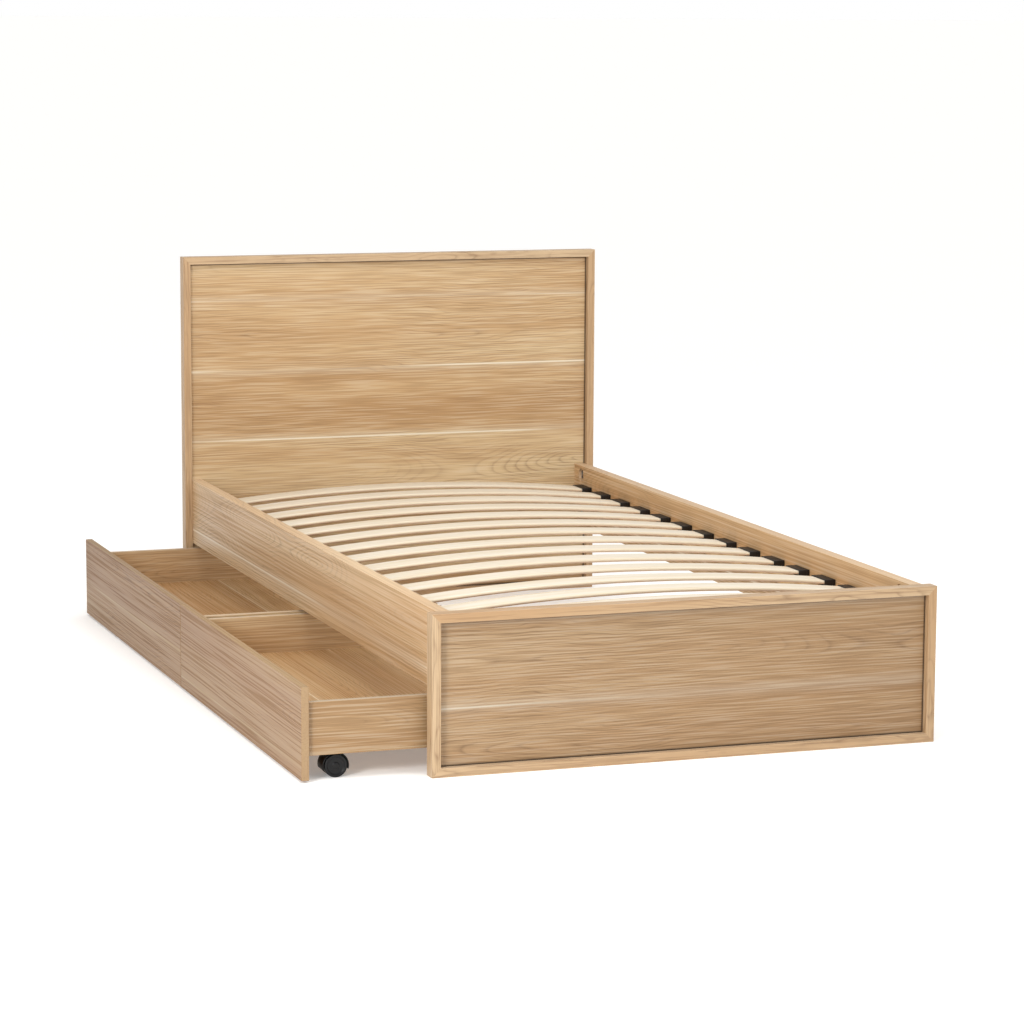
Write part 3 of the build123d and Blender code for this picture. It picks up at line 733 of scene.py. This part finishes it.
class BED_OT_holders(bpy.types.Operator):
    """Mould the holders that take the slats' ends, each with its pocket and peg"""

    bl_idname = "bed.holders"
    bl_label = "Slat holders"

    def execute(self, context):
        sizes = context.scene.bed_sizes
        radius, centre_z, _ = slat_arc(sizes.slat_thickness)
        slat_low, slat_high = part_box(SLATS[0])
        holders_low, holders_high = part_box("slat_holders")
        first_middle = (slat_low.y + slat_high.y) / 2
        half_width = first_middle - holders_low.y
        half_height = sizes.holder_height / 2
        back = holders_high.x
        mouth = slat_high.x + MM - sizes.holder_pocket
        ledger_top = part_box("left_ledger")[1].z
        middle_z = ledger_top + half_height
        pocket_width = (slat_high.y - slat_low.y) / 2 + sizes.holder_play
        pocket_height = sizes.slat_thickness / 2 + sizes.holder_play
        lip = 1.2 * MM
        floor = mouth + sizes.holder_pocket
        # a ring is (x, half width, half height, follows the slat's slope or not)
        rings = [
            (back, half_width - lip, half_height - lip, False),
            (back - 0.4 * lip, half_width - 0.3 * lip, half_height - 0.3 * lip, False),
            (back - lip, half_width, half_height, False),
            (back - 4 * lip, half_width, half_height, False),
            (back - 4.4 * lip, half_width - 0.5 * lip, half_height - 0.5 * lip, False),
            (back - 5.6 * lip, half_width - 0.5 * lip, half_height - 0.5 * lip, False),
            (back - 6 * lip, half_width, half_height, False),
            (mouth + lip, half_width, half_height, False),
            (mouth + 0.3 * lip, half_width - 0.3 * lip, half_height - 0.3 * lip, False),
            (mouth, half_width - 0.8 * lip, half_height - 0.6 * lip, False),
            (mouth + 0.2 * lip, pocket_width + 0.3 * lip, pocket_height + 0.2 * lip, True),
            (mouth + lip, pocket_width, pocket_height, True),
            (floor, pocket_width, pocket_height, True),
        ]
        ring_points = []
        for x, width, height, sloped in rings:
            outline, _ = rounded_rectangle(width, height, 1.5 * MM, 5)
            slope_z = centre_z + math.sqrt((radius - sizes.slat_thickness / 2) ** 2 - x ** 2)
            z = outline[:, 1] + (slope_z if sloped else middle_z)
            ring_points.append(np.stack([np.full(len(z), x), outline[:, 0], z], axis=-1))
        sleeve = np.array(ring_points)
        peg_x = (back + mouth) / 2
        peg_profile = rounded_steps(
            [(0.4 * sizes.peg_radius, holders_low.z), (sizes.peg_radius, holders_low.z),
             (sizes.peg_radius, ledger_top), (0.4 * sizes.peg_radius, ledger_top)], lip,
        )
        peg = lathe(peg_profile, (peg_x, 0, 0), "Z", 24)
        tubes = []
        for name in SLATS:
            low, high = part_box(name)
            shift = np.array((0, (low.y + high.y) / 2, 0))
            for side in ((1, 1, 1), (-1, 1, 1)):
                tubes += [((sleeve * side) + shift, False), ((peg * side) + shift, False)]
        colours = context.scene.bed_colours
        plastic = moulded_plastic("moulded_polypropylene", colours.holder, 0.38, 0.55, 0.5 * MM, 1.49)
        build(
            "moulded_slat_holders", tubes, "bed_frame", ["slat_holders"], plastic
        )
        return {"FINISHED"}


class BED_OT_wheels(bpy.types.Operator):
    """Turn the twin wheels of every caster, with the axle that joins them"""

    bl_idname = "bed.wheels"
    bl_label = "Caster wheels"

    def execute(self, context):
        sizes = context.scene.bed_sizes
        plastic = moulded_plastic(
            "moulded_wheel_plastic", context.scene.bed_colours.wheel, 0.3, 0.45, 0.4 * MM, 1.49
        )
        for drawer in DRAWERS:
            for corner in CORNERS:
                node = f"{drawer}_wheels_{corner}"
                low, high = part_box(node)
                centre = (low + high) / 2
                rim = (high.z - low.z) / 2
                outer = (high.y - low.y) / 2
                inner = outer - sizes.wheel_width
                axle = sizes.axle_radius
                dish = 2.2 * MM
                # one side: hub cap, dished face, tyre, inner face, then the axle
                half = [
                    (1.5 * axle, outer - 0.3 * dish), (2.2 * axle, outer - 0.5 * dish),
                    (2.5 * axle, outer - dish), (0.72 * rim, outer - dish),
                    (0.78 * rim, outer), (rim, outer), (rim, inner),
                    (0.8 * rim, inner), (0.72 * rim, inner + dish), (2.2 * axle, inner + dish),
                    (2 * axle, inner), (axle, inner),
                ]
                mirrored = [(r, -y) for r, y in reversed(half)]
                profile = rounded_steps(half + mirrored, 2 * MM, 6)
                build(
                    f"{drawer}_twin_wheels_{corner}",
                    [(lathe(profile, centre, "Y", sizes.steps), False)],
                    f"{drawer}_wheel_pair_{corner}", [node], plastic,
                )
        return {"FINISHED"}


class BED_OT_hoods(bpy.types.Operator):
    """Mould the hood of every caster: shell, web and neck"""

    bl_idname = "bed.hoods"
    bl_label = "Caster hoods"

    def execute(self, context):
        sizes = context.scene.bed_sizes
        nylon = moulded_plastic(
            "moulded_nylon", context.scene.bed_colours.nylon, 0.35, 0.5, 0.4 * MM, 1.53
        )
        for drawer in DRAWERS:
            for corner in CORNERS:
                node = f"{drawer}_hood_{corner}"
                low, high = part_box(node)
                wheels_low, wheels_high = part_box(f"{drawer}_wheels_{corner}")
                axle = (wheels_low + wheels_high) / 2
                outer = high.x - axle.x
                inner = outer - sizes.hood_shell
                half_width = (high.y - low.y) / 2
                lip = math.asin((axle.z - low.z) / outer)
                tubes = [
                    (hood_shell(axle, inner, outer, half_width, lip, sizes.steps), False),
                    (hood_web(axle, inner, 2.6 * sizes.axle_radius, lip, sizes.steps), False),
                    (hood_neck(low, high, sizes, axle.z + inner), True),
                ]
                build(
                    f"{drawer}_caster_hood_{corner}", tubes, f"{drawer}_caster_{corner}", [node],
                    nylon,
                )
        return {"FINISHED"}


def hood_shell(axle, inner, outer, half_width, lip, steps):
    """The rim over both wheels: a round-cornered strip carried about the axle from lip to lip."""
    outline, _ = rounded_rectangle(half_width, (outer - inner) / 2, 1.2 * MM, 5)
    angle = np.linspace(-lip, math.pi + lip, steps)[:, None]
    reach = (outer + inner) / 2 + outline[None, :, 1]
    x = axle.x + reach * np.cos(angle)
    z = axle.z + reach * np.sin(angle)
    y = np.broadcast_to(axle.y + outline[None, :, 0], x.shape)
    return np.stack([x, y, z], axis=-1)


def hood_web(axle, reach, boss, lip, steps):
    """The wall between the wheels: the hood's arc above, the axle's boss below, given a thickness."""
    above = np.linspace(-lip, math.pi + lip, steps)
    below = np.linspace(math.pi + 2 * lip, TURN - 2 * lip, steps // 2)
    angle = np.concatenate([above, below])
    radius = np.concatenate([np.full(steps, reach + 0.5 * MM), np.full(steps // 2, boss)])
    x = axle.x + radius * np.cos(angle)
    z = axle.z + radius * np.sin(angle)
    layers = []
    for y in (-HOOD_WEB_HALF, HOOD_WEB_HALF):
        layers.append(np.stack([x, np.full(len(x), axle.y + y), z], axis=-1))
    return np.array(layers)


def hood_neck(low, high, sizes, foot_z):
    """The neck round the stem: a closed round-cornered section turned about the swivel axis."""
    swivel_x = (low.x + high.x) / 2 - SWIVEL_TRAIL
    section = rounded_rectangle(
        (sizes.neck_radius - sizes.stem_bore) / 2, (high.z - foot_z + NECK_SUNK) / 2, MM, 5
    )[0]
    middle_r = (sizes.neck_radius + sizes.stem_bore) / 2
    middle_z = (high.z + foot_z - NECK_SUNK) / 2
    profile = section + (middle_r, middle_z)
    return lathe(profile, (swivel_x, (low.y + high.y) / 2, 0), "Z", sizes.steps)


class BED_OT_studio(bpy.types.Operator):
    """Lay the pale floor, hang the soft lights and set the camera"""

    bl_idname = "bed.studio"
    bl_label = "Studio"

    def execute(self, context):
        studio = context.scene.bed_studio
        colours = context.scene.bed_colours
        low, high = (Vector(corner) for corner in CAD_BOX)
        middle = (low + high) / 2

        material, tree, shader = new_material("studio_floor")
        place = add(tree, "ShaderNodeTexCoord").outputs["Object"]
        mottle = add(tree, "ShaderNodeTexNoise", {"Vector": place, "Scale": 1.5, "Detail": 3.0})
        tone = add(tree, "ShaderNodeMapRange", {"Value": mottle, "To Min": 0.985, "To Max": 1.0})
        painted = add(
            tree, "ShaderNodeMix", {0: 1.0, MIX_A: opaque(colours.floor), MIX_B: tone},
            data_type="RGBA", blend_type="MULTIPLY",
        )
        tree.links.new(painted.outputs[MIX_RESULT], shader.inputs["Base Color"])
        shader.inputs["Roughness"].default_value = 0.9
        shader.inputs["Emission Color"].default_value = opaque(colours.floor)
        shader.inputs["Emission Strength"].default_value = studio.glow
        side = np.linspace(-FLOOR_REACH, FLOOR_REACH, 5)
        x, y = np.meshgrid(middle.x + side, middle.y + side, indexing="ij")
        corners = np.stack([x, y, np.zeros_like(x)], axis=-1).reshape(-1, 3)
        cell = (np.arange(4)[:, None] * 5 + np.arange(4)[None, :]).ravel()
        faces = np.stack([cell, cell + 5, cell + 6, cell + 1], axis=-1)
        mesh = bpy.data.meshes.new("studio_floor")
        mesh.from_pydata(corners.tolist(), [], faces.tolist())
        mesh.materials.append(material)
        floor = bpy.data.objects.new("studio_floor", mesh)
        context.scene.collection.objects.link(floor)

        world = bpy.data.worlds.new("studio_world")
        world.use_nodes = True
        sky = world.node_tree
        background = sky.nodes["Background"]
        way = add(sky, "ShaderNodeTexCoord").outputs["Generated"]
        way = add(sky, "ShaderNodeSeparateXYZ", {0: way})
        # dimmer behind the bed than in front of it, full overhead, and pale along the horizon
        turned = add(
            sky, "ShaderNodeMath", {0: way.outputs["X"], 1: -0.7, 2: way.outputs["Y"]},
            operation="MULTIPLY_ADD",
        )
        level = add(sky, "ShaderNodeMapRange", {"Value": turned, "From Min": -0.7, "From Max": 0.7,
                                                "To Min": studio.front, "To Max": studio.back})
        above = add(sky, "ShaderNodeMapRange", {"Value": way.outputs["Z"], "From Min": 0.3, "From Max": 0.8})
        dome = add(sky, "ShaderNodeMix", {0: above, 2: level, 3: studio.sky})
        edge = add(sky, "ShaderNodeMapRange", {"Value": way.outputs["Z"], "From Min": 0.1, "From Max": 0.3})
        glow = add(sky, "ShaderNodeMix", {0: edge, 2: studio.horizon, 3: dome})
        background.inputs["Color"].default_value = (1, 1, 1, 1)
        sky.links.new(glow.outputs[0], background.inputs["Strength"])
        context.scene.world = world

        lamps = (
            ("key_light", studio.key, 0.7, Vector((-2.6, -1.7, 1.3)), Vector((-0.6, 0.6, 0.2))),
            ("front_light", studio.fill, 0.6, Vector((1.3, -3.6, 2.4)), Vector((0, 0.5, 0.3))),
            ("top_light", studio.top, 2.0, Vector((-0.3, -0.3, 2.8)), Vector((0, 2.0, 0.6))),
        )
        for name, power, size, place, aim in lamps:
            light = bpy.data.lights.new(name, "AREA")
            light.energy = power
            light.size = size
            lamp = bpy.data.objects.new(name, light)
            lamp.location = place
            lamp.rotation_euler = (aim - place).to_track_quat("-Z", "Y").to_euler()
            context.scene.collection.objects.link(lamp)

        camera = bpy.data.cameras.new("studio_camera")
        camera.lens = studio.lens
        camera.sensor_width = SENSOR_WIDTH
        camera.clip_end = CLIP_END
        seat = bpy.data.objects.new("studio_camera", camera)
        turn = Euler((math.pi / 2 - studio.pitch, 0, -studio.yaw)).to_matrix()
        turn @= Matrix.Rotation(studio.roll, 3, "Z")
        seat.matrix_world = Matrix.Translation(studio.place) @ turn.to_4x4()
        context.scene.collection.objects.link(seat)
        context.scene.camera = seat
        context.scene.view_settings.view_transform = "Standard"
        return {"FINISHED"}


OPERATORS = (
    BED_OT_boards, BED_OT_fittings, BED_OT_slats, BED_OT_holders, BED_OT_wheels, BED_OT_hoods,
    BED_OT_studio,
)


class BED_PT_sidebar(bpy.types.Panel):
    """Lists the steps that finish the bed"""

    bl_idname = "BED_PT_sidebar"
    bl_label = "Platform bed"
    bl_space_type = "VIEW_3D"
    bl_region_type = "UI"
    bl_category = "Bed"

    def draw(self, context):
        for operator in OPERATORS:
            self.layout.operator(operator.bl_idname)


GROUPS = {"bed_sizes": BED_PG_sizes, "bed_colours": BED_PG_colours, "bed_studio": BED_PG_studio}


def register():
    """Register the property groups, the operators and the panel."""
    for name, group in GROUPS.items():
        bpy.utils.register_class(group)
        setattr(bpy.types.Scene, name, PointerProperty(type=group))
    for item in (*OPERATORS, BED_PT_sidebar):
        bpy.utils.register_class(item)


def unregister():
    """Take away all that register added."""
    for item in reversed((*OPERATORS, BED_PT_sidebar)):
        bpy.utils.unregister_class(item)
    for name, group in GROUPS.items():
        delattr(bpy.types.Scene, name)
        bpy.utils.unregister_class(group)


def main():
    """Finish the bed step by step."""
    register()
    bpy.ops.bed.boards()
    bpy.ops.bed.fittings()
    bpy.ops.bed.slats()
    bpy.ops.bed.holders()
    bpy.ops.bed.wheels()
    bpy.ops.bed.hoods()
    bpy.ops.bed.studio()


if __name__ == "__main__":
    main()
